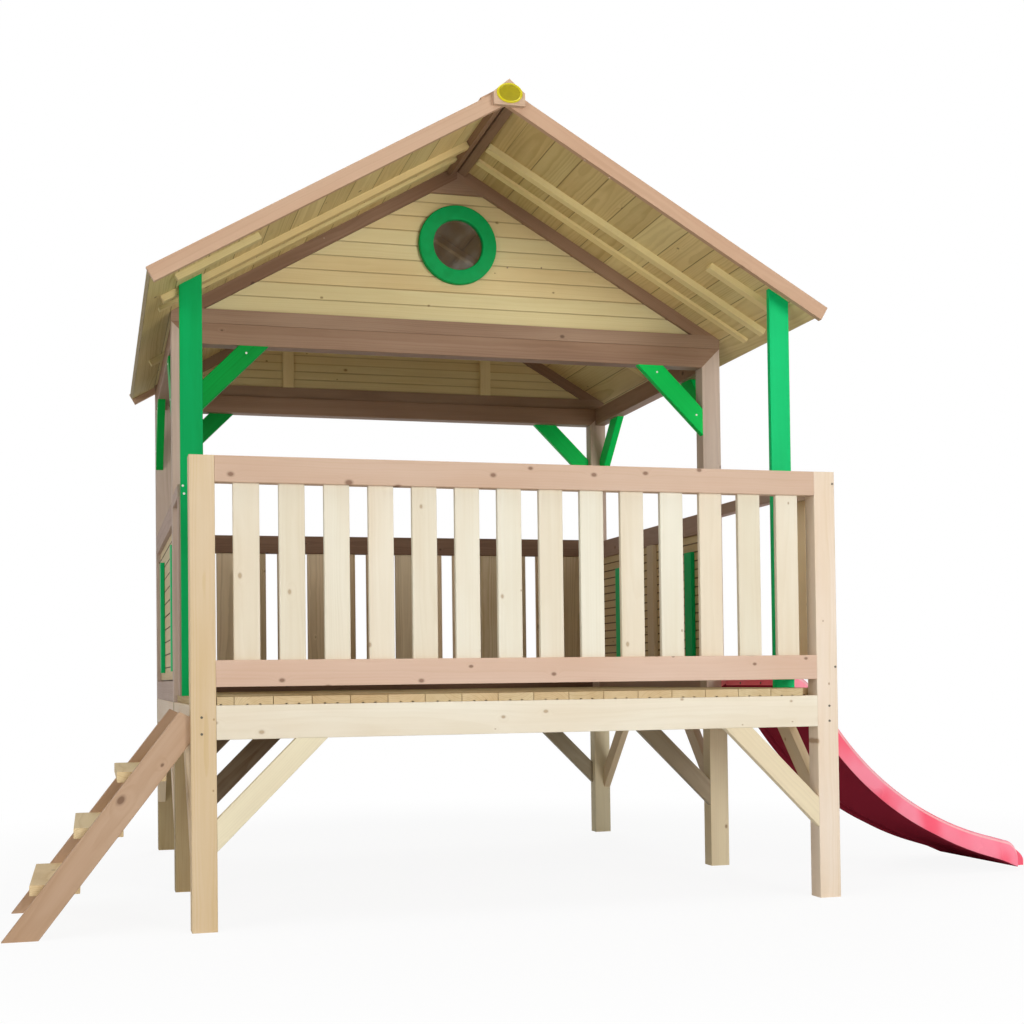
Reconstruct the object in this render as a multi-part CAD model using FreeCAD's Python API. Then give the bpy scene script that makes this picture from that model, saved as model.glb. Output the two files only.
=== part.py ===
import FreeCAD, Part
import math
import os

# Playhouse on a platform, all lengths in millimetres
# X runs along the front, Y runs back, Z is up; built from the left front corner on the ground,
# then moved so that the bottom centre of the whole is the origin

# Platform
platform_width = 1910.0
platform_depth = 2168.0
post_width = 68.0
post_depth = 62.0
front_post_height = 1280.0
beam_top = 606.0
beam_height = 93.0
middle_post_front = 831.0
cross_brace_foot = 300.0
side_brace_foot = 320.0
knee_brace_width = 62.0
knee_brace_thickness = 28.0

# Deck
deck_board_count = 18
deck_board_thickness = 22.0
deck_inset = 11.0
deck_gap = 2.0
deck_clearance = 2.0
deck_rear_bearing = 15.0
deck_groove_width = 6.0
deck_groove_depth = 3.0

# Balcony railing
rail_depth = 45.0
rail_height = 72.0
bottom_rail_gap = 27.0
slat_count = 14
slat_width = 71.0
slat_thickness = 18.0
slat_end_gap = 49.0
handrail_height = 38.0
handrail_below_top = 10.0
side_slat_gap = 75.0
left_slat_inset = 3.0

# Green posts that carry the front of the roof
roof_post_thickness = 21.0
left_roof_post_front = 535.0
left_roof_post_inset = 8.0
right_roof_post_front = 290.0

# House frame
house_front = 850.0
house_wall_height = 1230.0
portal_rail_height = 69.0
corner_brace_foot = 243.0
corner_brace_width = 68.0
corner_brace_thickness = 28.0

# Half walls
wall_rail_height = 68.0
wall_sill_height = 72.0
wall_height = 650.0
rear_wall_height = 661.0
siding_thickness = 18.0
siding_recess = 15.0
wall_siding_pitch = 95.8
siding_groove_width = 4.0
siding_groove_depth = 4.0
wall_batten_width = 68.0
wall_batten_thickness = 18.0
wall_batten_share = 0.411
green_board_width = 68.0
green_board_inset = 72.0
green_board_margin = 32.0
green_board_top_margin = 60.0
green_board_thickness = 15.0
far_green_board_share = 0.733
right_wall_shift = 46.0
rear_slat_width = 76.0
rear_slat_end_gap = 47.0

# Gables
gable_rail_height = 46.0
gable_frame_depth = 45.0
rafter_width = 40.0
apex_block_height = 53.0
gable_siding_pitch = 101.2
gable_siding_recess = 16.0
gable_batten_width = 45.0
gable_batten_thickness = 16.0
gable_batten_distance = 420.0
window_height_share = 0.604
window_margin = 61.4
window_band = 49.0
window_ring_proud = 4.0
pane_lap = 14.0
pane_thickness = 3.0

# Roof
roof_angle = 30.0
roof_rise_above_wall = 32.6
roof_board_count = 12
roof_board_thickness = 18.0
roof_eave_overhang = 89.0
roof_front = 235.0
roof_batten_width = 32.0
roof_batten_thickness = 20.0
thin_batten_thickness = 10.0
long_batten_start = 40.0
long_batten_end = 1001.0
short_batten_start = 725.0
short_batten_end = 968.0
short_batten_front = 367.0
thin_batten_front = 702.0
house_batten_front = 1508.0
ridge_batten_width = 43.0
ridge_batten_thickness = 20.0
ridge_batten_gap = 7.0
bargeboard_thickness = 20.0
bargeboard_width = 45.0
bargeboard_proud = 4.5
ridge_cap_width = 67.0
ridge_cap_thickness = 15.0

# Apex plaque and badge
plaque_width = 97.0
plaque_side_height = 39.0
plaque_height = 80.0
plaque_thickness = 18.0
plaque_offset = 6.0
plaque_above_roof = 25.0
badge_width = 80.0
badge_height = 60.0
badge_thickness = 3.0
badge_rim_width = 4.0
badge_rim_height = 1.5
badge_above_plaque_foot = 36.0

# Ladder
ladder_front = 20.0
ladder_clear_width = 499.0
stringer_thickness = 28.0
stringer_foot_reach = 483.0
stringer_foot_length = 93.0
stringer_top_drop = 16.0
stringer_top_slant_run = 28.0
stringer_top_slant_drop = 14.0
tread_count = 3
tread_pitch = 145.0
tread_first_top = 142.0
tread_depth = 128.0
tread_thickness = 28.0
tread_nosing = 40.0

# Slide
slide_front = 323.0
slide_width = 490.0
slide_start_inset = 28.0
slide_bend_inset = 10.0
slide_rail_height = 45.0
slide_rail_depth = 58.0
slide_end_depth = 68.0
slide_rail_width = 42.0
slide_bed_drop = 31.0
slide_bed_start_drop = 15.0
slide_bed_thickness = 14.0
slide_top_bend_radius = 110.0
slide_steep_angle = 55.2
slide_straight = 139.4
slide_run_out_angle = 15.2
slide_run_out = 86.4
slide_end_height = 103.1
slide_lip_radius = 50.0
slide_bed_lip_reach = 46.0
slide_bed_lip_radius = 45.0
slide_foot_height = 14.0
slide_edge_radius = 9.0

# Fastenings
screw_head_diameter = 7.0
screw_head_height = 1.8
screw_shank_diameter = 4.0
screw_length = 12.0
post_screw_low = 61.0
post_screw_high = 106.0
post_screw_inset = 29.0
brace_screw_inset = 34.0

# Shaping
timber_edge_radius = 2.5
board_edge_radius = 1.5
overrun = 5.0

# Derived levels and places
slope = math.tan(math.radians(roof_angle))
slope_cos = math.cos(math.radians(roof_angle))
slope_sin = math.sin(math.radians(roof_angle))
half_share = 0.5
third_share = 1.0 / 3.0
centre_x = platform_width * half_share
right_post_x = platform_width - post_width
rear_post_y = platform_depth - post_depth
middle_post_rear = middle_post_front + post_depth
beam_bottom = beam_top - beam_height
deck_top = beam_top + deck_board_thickness
front_rail_bottom = deck_top + bottom_rail_gap
handrail_top = front_post_height - handrail_below_top
handrail_bottom = handrail_top - handrail_height
house_post_top = beam_top + house_wall_height
portal_rail_bottom = house_post_top - portal_rail_height
house_front_rear = house_front + post_depth
sill_top = beam_top + wall_height
sill_bottom = sill_top - wall_sill_height
wall_rail_top = beam_top + wall_rail_height
rear_wall_top = beam_top + rear_wall_height
rear_rail_y = platform_depth - rail_depth
ridge_under = house_post_top + roof_rise_above_wall + centre_x * slope
ridge_top = ridge_under + roof_board_thickness / slope_cos
gable_rail_top = house_post_top + gable_rail_height
rafter_under = ridge_under - rafter_width / slope_cos
apex_block_bottom = rafter_under - apex_block_height
eave_half = centre_x + roof_eave_overhang
slope_length = eave_half / slope_cos
roof_board_width = slope_length / roof_board_count
deck_span = platform_width - 2 * deck_inset
deck_board_width = (deck_span - (deck_board_count - 1) * deck_gap) / deck_board_count
deck_rear = rear_post_y + deck_rear_bearing
long_batten_front = left_roof_post_front + roof_post_thickness


def vec(x, y, z):
    return FreeCAD.Vector(x, y, z)


def block(x0, x1, y0, y1, z0, z1):
    return Part.makeBox(x1 - x0, y1 - y0, z1 - z0, vec(x0, y0, z0))


def prism_y(points, y0, y1):
    corners = [vec(x, y0, z) for x, z in points]
    face = Part.Face(Part.makePolygon(corners + [corners[0]]))
    return face.extrude(vec(0, y1 - y0, 0))


def prism_x(points, x0, x1):
    corners = [vec(x0, y, z) for y, z in points]
    face = Part.Face(Part.makePolygon(corners + [corners[0]]))
    return face.extrude(vec(x1 - x0, 0, 0))


def prism_z(points, z0, z1):
    corners = [vec(x, y, z0) for x, y in points]
    face = Part.Face(Part.makePolygon(corners + [corners[0]]))
    return face.extrude(vec(0, 0, z1 - z0))


def cylinder(centre, direction, diameter, length):
    return Part.makeCylinder(diameter * half_share, length, centre, direction)


def softened(shape, direction, radius):
    # Rounds the straight edges that run along the piece
    if radius <= 0:
        return shape
    picked = []
    for edge in shape.Edges:
        if len(edge.Vertexes) != 2 or edge.Length < 4 * radius:
            continue
        run = edge.Vertexes[1].Point - edge.Vertexes[0].Point
        run.normalize()
        if abs(run.dot(direction)) > 0.9999:
            picked.append(edge)
    if not picked:
        return shape
    rounded = shape.makeFillet(radius, picked)
    if rounded.isValid() and len(rounded.Solids) == 1:
        return rounded.Solids[0]
    return shape


ALONG_X = vec(1, 0, 0)
ALONG_Y = vec(0, 1, 0)
ALONG_Z = vec(0, 0, 1)


def stick(x0, x1, y0, y1, z0, z1, along, radius=timber_edge_radius):
    return softened(block(x0, x1, y0, y1, z0, z1), along, radius)


def mirror_x(shape):
    return shape.mirror(vec(centre_x, 0, 0), vec(1, 0, 0))


def mirror_y(shape, y):
    return shape.mirror(vec(0, y, 0), vec(0, 1, 0))


def both_sides(shapes):
    return shapes + [mirror_x(shape) for shape in shapes]


def brace_points(corner_a, corner_b, foot, width, sign_a, sign_b):
    # Strip at 45 degrees across an inside corner, its far edge meeting both members
    near = foot - width * math.sqrt(2.0)
    return [(corner_a, corner_b + sign_b * foot),
            (corner_a, corner_b + sign_b * near),
            (corner_a + sign_a * near, corner_b),
            (corner_a + sign_a * foot, corner_b)]


def diagonal(sign_a, plane):
    run = math.sqrt(half_share)
    if plane == "xz":
        return vec(run * sign_a, 0, run)
    return vec(0, run * sign_a, run)


def under_slope(y0, y1, apex_height, low=0.0):
    # Everything below a pair of roof planes that meet at the given height
    reach = eave_half * 2
    points = [(centre_x - reach, low - reach), (centre_x + reach, low - reach),
              (centre_x + reach, apex_height - reach * slope), (centre_x, apex_height),
              (centre_x - reach, apex_height - reach * slope)]
    return prism_y(points, y0, y1)


def slope_piece(start, end, depth_from, depth_to, y0, y1):
    # Board lying on the left slope; start and end are distances along it from the ridge,
    # depths are measured square to it from the roof's underside, positive upwards
    def place(along, up):
        return (centre_x - along * slope_cos - up * slope_sin,
                ridge_under - along * slope_sin + up * slope_cos)
    points = [place(start, depth_from), place(end, depth_from),
              place(end, depth_to), place(start, depth_to)]
    return prism_y(points, y0, y1)


def ridge_point(along, up):
    return (centre_x - along * slope_cos - up * slope_sin,
            ridge_under - along * slope_sin + up * slope_cos)


def plumb_piece(end, depth_from, depth_to, y0, y1):
    # Board on the left slope that ends at the ridge with a plumb cut
    points = [(centre_x, ridge_under + depth_from / slope_cos),
              ridge_point(end, depth_from),
              ridge_point(end, depth_to),
              (centre_x, ridge_under + depth_to / slope_cos)]
    return prism_y(points, y0, y1)


# Posts and platform frame
screws = []
holes = {}


def add_screw(owner, x, y, z, nx, ny, nz):
    outward = vec(nx, ny, nz)
    point = vec(x, y, z)
    inner = point - outward * screw_length
    head = Part.makeCylinder(screw_head_diameter * half_share, screw_head_height, point, outward)
    rim = [edge for edge in head.Edges
           if len(edge.Vertexes) == 1 and edge.CenterOfMass.distanceToPoint(point) > screw_head_height * half_share]
    head = head.makeFillet(screw_head_height * 0.45, rim[:1])
    slot = block(-screw_head_diameter, screw_head_diameter,
                 -screw_head_height * 0.3, screw_head_height * 0.3,
                 screw_head_height * 0.55, screw_head_height * 2)
    slot.Placement = FreeCAD.Placement(point, FreeCAD.Rotation(vec(0, 0, 1), outward))
    head = head.cut(slot)
    shank = Part.makeCylinder(screw_shank_diameter * half_share, screw_length, inner, outward)
    screws.append(head.fuse(shank).removeSplitter().Solids[0])
    holes.setdefault(owner, []).append(
        Part.makeCylinder(screw_shank_diameter * half_share, screw_length, inner, outward))


def drilled(owner, shapes):
    result = []
    for shape in shapes:
        for hole in holes.get(owner, []):
            if shape.distToShape(hole)[0] < screw_shank_diameter * half_share:
                shape = shape.cut(hole).Solids[0]
        result.append(shape)
    return result


for x, z in [(post_screw_inset, beam_bottom + post_screw_low),
             (post_screw_inset, beam_bottom + post_screw_low - (post_screw_high - post_screw_low)),
             (platform_width - post_screw_inset, beam_bottom + post_screw_low),
             (platform_width - post_screw_inset,
              beam_bottom + post_screw_low - (post_screw_high - post_screw_low)),
             (platform_width - screw_head_diameter, front_rail_bottom + rail_height * half_share),
             (platform_width - screw_head_diameter, front_post_height - rail_height * half_share)]:
    add_screw("front_posts", x, 0, z, 0, -1, 0)

near_edge = corner_brace_foot - corner_brace_width * math.sqrt(2.0)
for side in [-1, 1]:
    for at_post in [True, False]:
        middle = (corner_brace_foot + near_edge) * half_share
        shift = brace_screw_inset * math.sqrt(half_share)
        across = shift if at_post else middle - shift
        down = middle - shift if at_post else shift
        x = centre_x + side * (centre_x - post_width - across)
        add_screw("portal_corner_braces", x, house_front, portal_rail_bottom - down, 0, -1, 0)
        add_screw("portal_corner_braces", x, platform_depth, portal_rail_bottom - down, 0, 1, 0)
        y = house_front_rear + across
        mirrored_y = rear_post_y - across
        x_face = 0 if side < 0 else platform_width
        for place in [y, mirrored_y]:
            add_screw("side_corner_braces", x_face, place, portal_rail_bottom - down, side, 0, 0)

for x, z in [(left_roof_post_inset + screw_head_diameter * 1.5, handrail_bottom + screw_head_diameter),
             (left_roof_post_inset + screw_head_diameter, handrail_top - screw_head_diameter)]:
    add_screw("left_roof_post", x, left_roof_post_front, z, 0, -1, 0)

front_posts = both_sides([stick(0, post_width, 0, post_depth, 0, front_post_height, ALONG_Z)])
short_posts = both_sides([
    stick(0, post_width, middle_post_front, middle_post_rear, 0, beam_top, ALONG_Z),
    stick(0, post_width, rear_post_y, platform_depth, 0, beam_top, ALONG_Z)])
cross_beams = []
for y in [0, middle_post_front, rear_post_y]:
    cross_beams.append(stick(post_width, right_post_x, y, y + post_depth,
                             beam_bottom, beam_top, ALONG_X))
side_beams = []
for y0, y1 in [(post_depth, middle_post_front), (middle_post_rear, rear_post_y)]:
    side_beams.append(stick(0, post_depth, y0, y1, beam_bottom, beam_top, ALONG_Y))
side_beams = both_sides(side_beams)
joist_y = (middle_post_rear + rear_post_y - post_depth) * half_share
floor_joist = stick(post_depth, platform_width - post_depth, joist_y, joist_y + post_depth,
                    beam_bottom, beam_top, ALONG_X)

cross_knee_braces = []
for y in [0, middle_post_front, platform_depth - knee_brace_thickness]:
    points = brace_points(post_width, beam_bottom, cross_brace_foot, knee_brace_width, 1, -1)
    brace = prism_y(points, y, y + knee_brace_thickness)
    cross_knee_braces.append(softened(brace, diagonal(1, "xz"), timber_edge_radius))
cross_knee_braces = both_sides(cross_knee_braces)

side_knee_braces = []
for y, sign in [(post_depth, 1), (middle_post_rear, 1), (rear_post_y, -1)]:
    points = brace_points(y, beam_bottom, side_brace_foot, knee_brace_width, sign, -1)
    brace = prism_x(points, 0, knee_brace_thickness)
    side_knee_braces.append(softened(brace, diagonal(sign, "yz"), timber_edge_radius))
side_knee_braces = both_sides(side_knee_braces)

# Deck boards, cut round the posts and the lower rails of the house
deck_cutters = both_sides([
    block(-overrun, post_width + deck_clearance, -overrun, post_depth + deck_clearance,
          beam_top - overrun, deck_top + overrun),
    block(-overrun, post_width + deck_clearance, house_front - deck_clearance,
          house_front_rear + deck_clearance, beam_top - overrun, deck_top + overrun),
    block(-overrun, rail_depth + deck_clearance, house_front, rear_post_y,
          beam_top - overrun, deck_top + overrun),
    block(-overrun, post_width + deck_clearance, rear_post_y - deck_clearance,
          platform_depth + overrun, beam_top - overrun, deck_top + overrun)])
deck_cutters.append(
    block(right_post_x - deck_board_width, platform_width + overrun, -overrun,
          post_depth + deck_clearance, beam_top - overrun, deck_top + overrun))
deck_boards = []
for index in range(deck_board_count):
    x0 = deck_inset + index * (deck_board_width + deck_gap)
    last = index == deck_board_count - 1
    board = stick(x0, x0 + deck_board_width, 0, deck_rear, beam_top, deck_top,
                  ALONG_Y, board_edge_radius)
    for share in [third_share, 2 * third_share]:
        groove_x = x0 + deck_board_width * share
        board = board.cut(block(groove_x - deck_groove_width * half_share,
                                groove_x + deck_groove_width * half_share,
                                -overrun, deck_rear + overrun,
                                beam_top - overrun, beam_top + deck_groove_depth))
    for number, cutter in enumerate(deck_cutters):
        if number == len(deck_cutters) - 1 and not last:
            continue
        board = board.cut(cutter)
    deck_boards.append(board.Solids[0])

# Balcony railing
railing_top_rail = stick(post_width, right_post_x, 0, rail_depth,
                         front_post_height - rail_height, front_post_height, ALONG_X)
railing_bottom_rail = stick(post_width, right_post_x, 0, rail_depth,
                            front_rail_bottom, front_rail_bottom + rail_height, ALONG_X)
slat_y = (rail_depth - slat_thickness) * half_share
clear_width = right_post_x - post_width


def slats(width, end_gap, y0, y1, z0, z1):
    pitch = (clear_width - 2 * end_gap - width) / (slat_count - 1)
    row = []
    for index in range(slat_count):
        x0 = post_width + end_gap + index * pitch
        row.append(stick(x0, x0 + width, y0, y1, z0, z1, ALONG_Z))
    return row


railing_slats = slats(slat_width, slat_end_gap, slat_y, slat_y + slat_thickness,
                      front_rail_bottom + rail_height, front_post_height - rail_height)

left_post_rear = left_roof_post_front + roof_post_thickness
left_handrail = stick(0, handrail_height, left_post_rear, house_front,
                      handrail_bottom, handrail_top, ALONG_Y)
left_side_slat = stick(left_slat_inset, left_slat_inset + slat_thickness,
                       left_post_rear, left_post_rear + slat_width,
                       deck_top, handrail_bottom, ALONG_Z)
right_post_rear = right_roof_post_front + roof_post_thickness
right_handrail = stick(platform_width - handrail_height, platform_width, right_post_rear,
                       house_front, handrail_bottom, handrail_top, ALONG_Y)
right_side_rails = []
for z0 in [front_rail_bottom, front_post_height - rail_height]:
    right_side_rails.append(stick(platform_width - rail_depth, platform_width,
                                  post_depth, right_roof_post_front,
                                  z0, z0 + rail_height, ALONG_Y))
slat_x = platform_width - slat_y - slat_thickness
right_side_slat = stick(slat_x, slat_x + slat_thickness,
                        post_depth + side_slat_gap, post_depth + side_slat_gap + slat_width,
                        front_rail_bottom + rail_height, front_post_height - rail_height,
                        ALONG_Z)

# Green posts under the roof
roof_void = under_slope(-platform_depth, platform_depth * 2, ridge_under)
left_roof_post = stick(left_roof_post_inset, left_roof_post_inset + post_width,
                       left_roof_post_front, left_post_rear, deck_top, ridge_under, ALONG_Z)
left_roof_post = left_roof_post.common(roof_void).Solids[0]
right_roof_post = stick(right_post_x, platform_width, right_roof_post_front,
                        right_post_rear, deck_top, ridge_under, ALONG_Z)
right_roof_post = right_roof_post.common(roof_void).Solids[0]

# House frame, its portals mitred at the top corners
corner_post_points = [(0, beam_top), (post_width, beam_top), (post_width, portal_rail_bottom),
                      (0, house_post_top)]
portal_rail_points = [(0, house_post_top), (post_width, portal_rail_bottom),
                      (right_post_x, portal_rail_bottom), (platform_width, house_post_top)]
house_corner_posts = []
portal_rails = []
for y in [house_front, rear_post_y]:
    post = prism_y(corner_post_points, y, y + post_depth)
    house_corner_posts.append(softened(post, ALONG_Z, timber_edge_radius))
    rail = prism_y(portal_rail_points, y, y + post_depth)
    portal_rails.append(softened(rail, ALONG_X, timber_edge_radius))
house_corner_posts = both_sides(house_corner_posts)
side_top_rails = both_sides([stick(0, rail_depth, house_front_rear, rear_post_y,
                                   portal_rail_bottom, house_post_top, ALONG_Y)])

portal_corner_braces = []
for y in [house_front, platform_depth - corner_brace_thickness]:
    points = brace_points(post_width, portal_rail_bottom, corner_brace_foot,
                          corner_brace_width, 1, -1)
    brace = prism_y(points, y, y + corner_brace_thickness)
    portal_corner_braces.append(softened(brace, diagonal(1, "xz"), timber_edge_radius))
portal_corner_braces = both_sides(portal_corner_braces)
side_corner_braces = []
for y, sign in [(house_front_rear, 1), (rear_post_y, -1)]:
    points = brace_points(y, portal_rail_bottom, corner_brace_foot,
                          corner_brace_width, sign, -1)
    brace = prism_x(points, 0, corner_brace_thickness)
    side_corner_braces.append(softened(brace, diagonal(sign, "yz"), timber_edge_radius))
side_corner_braces = both_sides(side_corner_braces)

# Half walls at the sides
siding_x = siding_recess
wall_length = rear_post_y - house_front_rear
batten_y = house_front_rear + wall_length * wall_batten_share
far_green_y = house_front_rear + wall_length * far_green_board_share
wall_sill = stick(0, rail_depth, house_front_rear, rear_post_y, sill_bottom, sill_top, ALONG_Y)
wall_bottom_rail = stick(0, rail_depth, house_front_rear, rear_post_y,
                         beam_top, wall_rail_top, ALONG_Y)


def side_siding():
    boards = []
    level = wall_rail_top
    while level < sill_bottom - overrun * 0.1:
        top = min(level + wall_siding_pitch, sill_bottom)
        if sill_bottom - top < overrun:
            top = sill_bottom
        board = block(siding_x, siding_x + siding_thickness, house_front_rear, rear_post_y,
                      level, top)
        for share in [0.0, half_share]:
            groove = level + wall_siding_pitch * share
            if groove > level - overrun and groove + siding_groove_width < top:
                board = board.cut(block(siding_x - overrun, siding_x + siding_groove_depth,
                                        house_front_rear - overrun, rear_post_y + overrun,
                                        groove, groove + siding_groove_width))
        for share in [third_share, 2 * third_share]:
            groove = level + wall_siding_pitch * share
            if groove + siding_groove_width < top:
                board = board.cut(block(siding_x + siding_thickness - siding_groove_depth,
                                        siding_x + siding_thickness + overrun,
                                        house_front_rear - overrun, rear_post_y + overrun,
                                        groove, groove + siding_groove_width))
        boards.append(board.Solids[0])
        level = top
    return boards


wall_siding = side_siding()
inner_x = siding_x + siding_thickness
wall_batten = stick(inner_x, inner_x + wall_batten_thickness,
                    batten_y - wall_batten_width * half_share,
                    batten_y + wall_batten_width * half_share,
                    wall_rail_top, sill_bottom, ALONG_Z)
wall_green_boards = []
for y in [house_front_rear + green_board_inset, far_green_y - green_board_width * half_share]:
    for x in [siding_x - green_board_thickness, inner_x]:
        wall_green_boards.append(stick(x, x + green_board_thickness, y, y + green_board_width,
                                       wall_rail_top + green_board_margin,
                                       sill_bottom - green_board_top_margin, ALONG_Z))


def on_right_wall(boards):
    # The same boards on the other wall, where they sit a little further back
    return [mirror_x(board).translated(vec(0, right_wall_shift, 0)) for board in boards]


# Half wall at the rear
rear_wall_top_rail = stick(post_width, right_post_x, rear_rail_y, platform_depth,
                           rear_wall_top - wall_sill_height, rear_wall_top, ALONG_X)
rear_wall_bottom_rail = stick(post_width, right_post_x, rear_rail_y, platform_depth,
                              beam_top, wall_rail_top, ALONG_X)
rear_wall_slats = slats(rear_slat_width, rear_slat_end_gap, rear_rail_y + slat_y,
                        rear_rail_y + slat_y + slat_thickness,
                        wall_rail_top, rear_wall_top - wall_sill_height)

# Gables: rail, two rafters and an apex block frame the boards between them
gable_void = under_slope(-platform_depth, platform_depth * 2, ridge_under)
rafter_void = under_slope(-platform_depth, platform_depth * 2, rafter_under)


def gable(y0, face_y, inward):
    y1 = y0 + gable_frame_depth
    rail = block(0, platform_width, y0, y1, house_post_top, gable_rail_top).common(gable_void)
    rail = rail.Solids[0]
    run = (ridge_under - gable_rail_top) / slope
    inner_run = (rafter_under - gable_rail_top) / slope
    rafter = prism_y([(centre_x - run, gable_rail_top), (centre_x - inner_run, gable_rail_top),
                      (centre_x, rafter_under), (centre_x, ridge_under)], y0, y1)
    rafters = [rafter, mirror_x(rafter)]
    half_block = apex_block_height / slope
    apex = prism_y([(centre_x - half_block, apex_block_bottom),
                    (centre_x + half_block, apex_block_bottom),
                    (centre_x, rafter_under)], y0, y1)
    start = face_y + inward * gable_siding_recess
    end = start + inward * siding_thickness
    low, high = min(start, end), max(start, end)
    boards = []
    level = gable_rail_top
    inner_half = (rafter_under - gable_rail_top) / slope
    while level < apex_block_bottom - overrun * 0.1:
        top = min(level + gable_siding_pitch, apex_block_bottom)
        if apex_block_bottom - top < overrun:
            top = apex_block_bottom
        board = block(centre_x - inner_half, centre_x + inner_half, low, high, level, top)
        outer_low = start - overrun if inward > 0 else start - siding_groove_depth
        outer_high = start + siding_groove_depth if inward > 0 else start + overrun
        inner_low = end - siding_groove_depth if inward > 0 else end - overrun
        inner_high = end + overrun if inward > 0 else end + siding_groove_depth
        for share, from_y, to_y in [(0.0, outer_low, outer_high),
                                    (half_share, outer_low, outer_high),
                                    (third_share, inner_low, inner_high),
                                    (2 * third_share, inner_low, inner_high)]:
            groove = level + gable_siding_pitch * share
            if groove + siding_groove_width < top:
                board = board.cut(block(centre_x - inner_half - overrun,
                                        centre_x + inner_half + overrun, from_y, to_y,
                                        groove, groove + siding_groove_width))
        boards.append(board.common(rafter_void).Solids[0])
        level = top
    battens = []
    back = end + inward * gable_batten_thickness
    for side in [-1, 1]:
        x = centre_x + side * gable_batten_distance
        outer = gable_batten_distance + gable_batten_width * half_share
        top = rafter_under - outer * slope
        battens.append(stick(x - gable_batten_width * half_share,
                             x + gable_batten_width * half_share,
                             min(end, back), max(end, back),
                             gable_rail_top, top, ALONG_Z))
    return rail, rafters, apex, boards, battens


front_gable = gable(house_front, house_front, 1)
rear_gable = gable(platform_depth - gable_frame_depth, platform_depth, -1)

# Round window in the front gable
window_z = gable_rail_top + (apex_block_bottom - gable_rail_top) * window_height_share
window_to_rafter = (rafter_under - window_z) * slope_cos
window_ring_diameter = 2 * (window_to_rafter - window_margin)
window_opening_diameter = window_ring_diameter - 2 * window_band
pane_diameter = window_opening_diameter + 2 * pane_lap
ring_front = house_front - window_ring_proud
siding_front = house_front + gable_siding_recess
window_ring = cylinder(vec(centre_x, ring_front, window_z), ALONG_Y, window_ring_diameter,
                       siding_front - ring_front)
front_rim = [edge for edge in window_ring.Edges
             if len(edge.Vertexes) == 1 and abs(edge.CenterOfMass.y - ring_front) < overrun * 0.1]
window_ring = window_ring.makeFillet(timber_edge_radius, front_rim)
window_ring = window_ring.cut(cylinder(vec(centre_x, ring_front - overrun, window_z), ALONG_Y,
                                       window_opening_diameter,
                                       siding_front - ring_front + 2 * overrun))
window_ring = window_ring.cut(cylinder(vec(centre_x, siding_front - pane_thickness, window_z),
                                       ALONG_Y, pane_diameter, pane_thickness + overrun))
window_ring = window_ring.Solids[0]
window_pane = cylinder(vec(centre_x, siding_front - pane_thickness, window_z), ALONG_Y,
                       pane_diameter, pane_thickness)
window_hole = cylinder(vec(centre_x, siding_front - overrun, window_z), ALONG_Y,
                       window_opening_diameter, siding_thickness + 2 * overrun)
front_siding = []
for board in front_gable[3]:
    if board.common(window_hole).Volume > 0:
        for piece in board.cut(window_hole).Solids:
            front_siding.append(piece)
    else:
        front_siding.append(board)

# Roof boards, twelve along each slope
left_roof_boards = []
for index in range(roof_board_count):
    if index == 0:
        board = plumb_piece(roof_board_width, 0, roof_board_thickness, roof_front, platform_depth)
    else:
        board = slope_piece(index * roof_board_width, (index + 1) * roof_board_width,
                            0, roof_board_thickness, roof_front, platform_depth)
        board = softened(board, ALONG_Y, board_edge_radius)
    left_roof_boards.append(board)
right_roof_boards = [mirror_x(board) for board in left_roof_boards]

# Battens under the roof boards, across them
roof_battens = []
for y0, start, end, thickness in [
        (short_batten_front, short_batten_start, short_batten_end, roof_batten_thickness),
        (long_batten_front, long_batten_start, long_batten_end, roof_batten_thickness),
        (thin_batten_front, long_batten_start, long_batten_end, thin_batten_thickness),
        (house_batten_front, long_batten_start, long_batten_end, roof_batten_thickness)]:
    batten = slope_piece(start / slope_cos, end / slope_cos, -thickness, 0,
                         y0, y0 + roof_batten_width)
    roof_battens.append(batten)
roof_battens = both_sides(roof_battens)
ridge_battens = []
for y0, y1 in [(roof_front, house_front),
               (house_front + gable_frame_depth, platform_depth - gable_frame_depth)]:
    batten = plumb_piece(ridge_batten_width, -ridge_batten_thickness, 0, y0, y1)
    gap = block(centre_x - ridge_batten_gap * half_share, centre_x + ridge_batten_gap * half_share,
                y0 - overrun, y1 + overrun, rafter_under - ridge_batten_width, ridge_top)
    ridge_battens.append(batten.cut(gap).Solids[0])
ridge_battens = both_sides(ridge_battens)

# Bargeboards, ridge caps, apex plaque and badge
barge_top = roof_board_thickness + bargeboard_proud
barge_low = barge_top - bargeboard_width
front_barge = plumb_piece(slope_length, barge_low, barge_top,
                          roof_front - bargeboard_thickness, roof_front)
rear_barge = plumb_piece(slope_length, barge_low, barge_top,
                         platform_depth, platform_depth + bargeboard_thickness)
front_bargeboards = [front_barge, mirror_x(front_barge)]
rear_bargeboards = [rear_barge, mirror_x(rear_barge)]
cap = plumb_piece(ridge_cap_width, roof_board_thickness,
                  roof_board_thickness + ridge_cap_thickness, roof_front, platform_depth)
ridge_caps = [cap, mirror_x(cap)]

plaque_x = centre_x + plaque_offset
plaque_bottom = ridge_top + plaque_above_roof - plaque_height
plaque_front = roof_front - bargeboard_thickness - plaque_thickness
plaque_half = plaque_width * half_share
apex_plaque = prism_y([(plaque_x - plaque_half, plaque_bottom),
                       (plaque_x + plaque_half, plaque_bottom),
                       (plaque_x + plaque_half, plaque_bottom + plaque_side_height),
                       (plaque_x, plaque_bottom + plaque_height),
                       (plaque_x - plaque_half, plaque_bottom + plaque_side_height)],
                      plaque_front, plaque_front + plaque_thickness)
apex_plaque = softened(apex_plaque, ALONG_Y, board_edge_radius)


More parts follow.
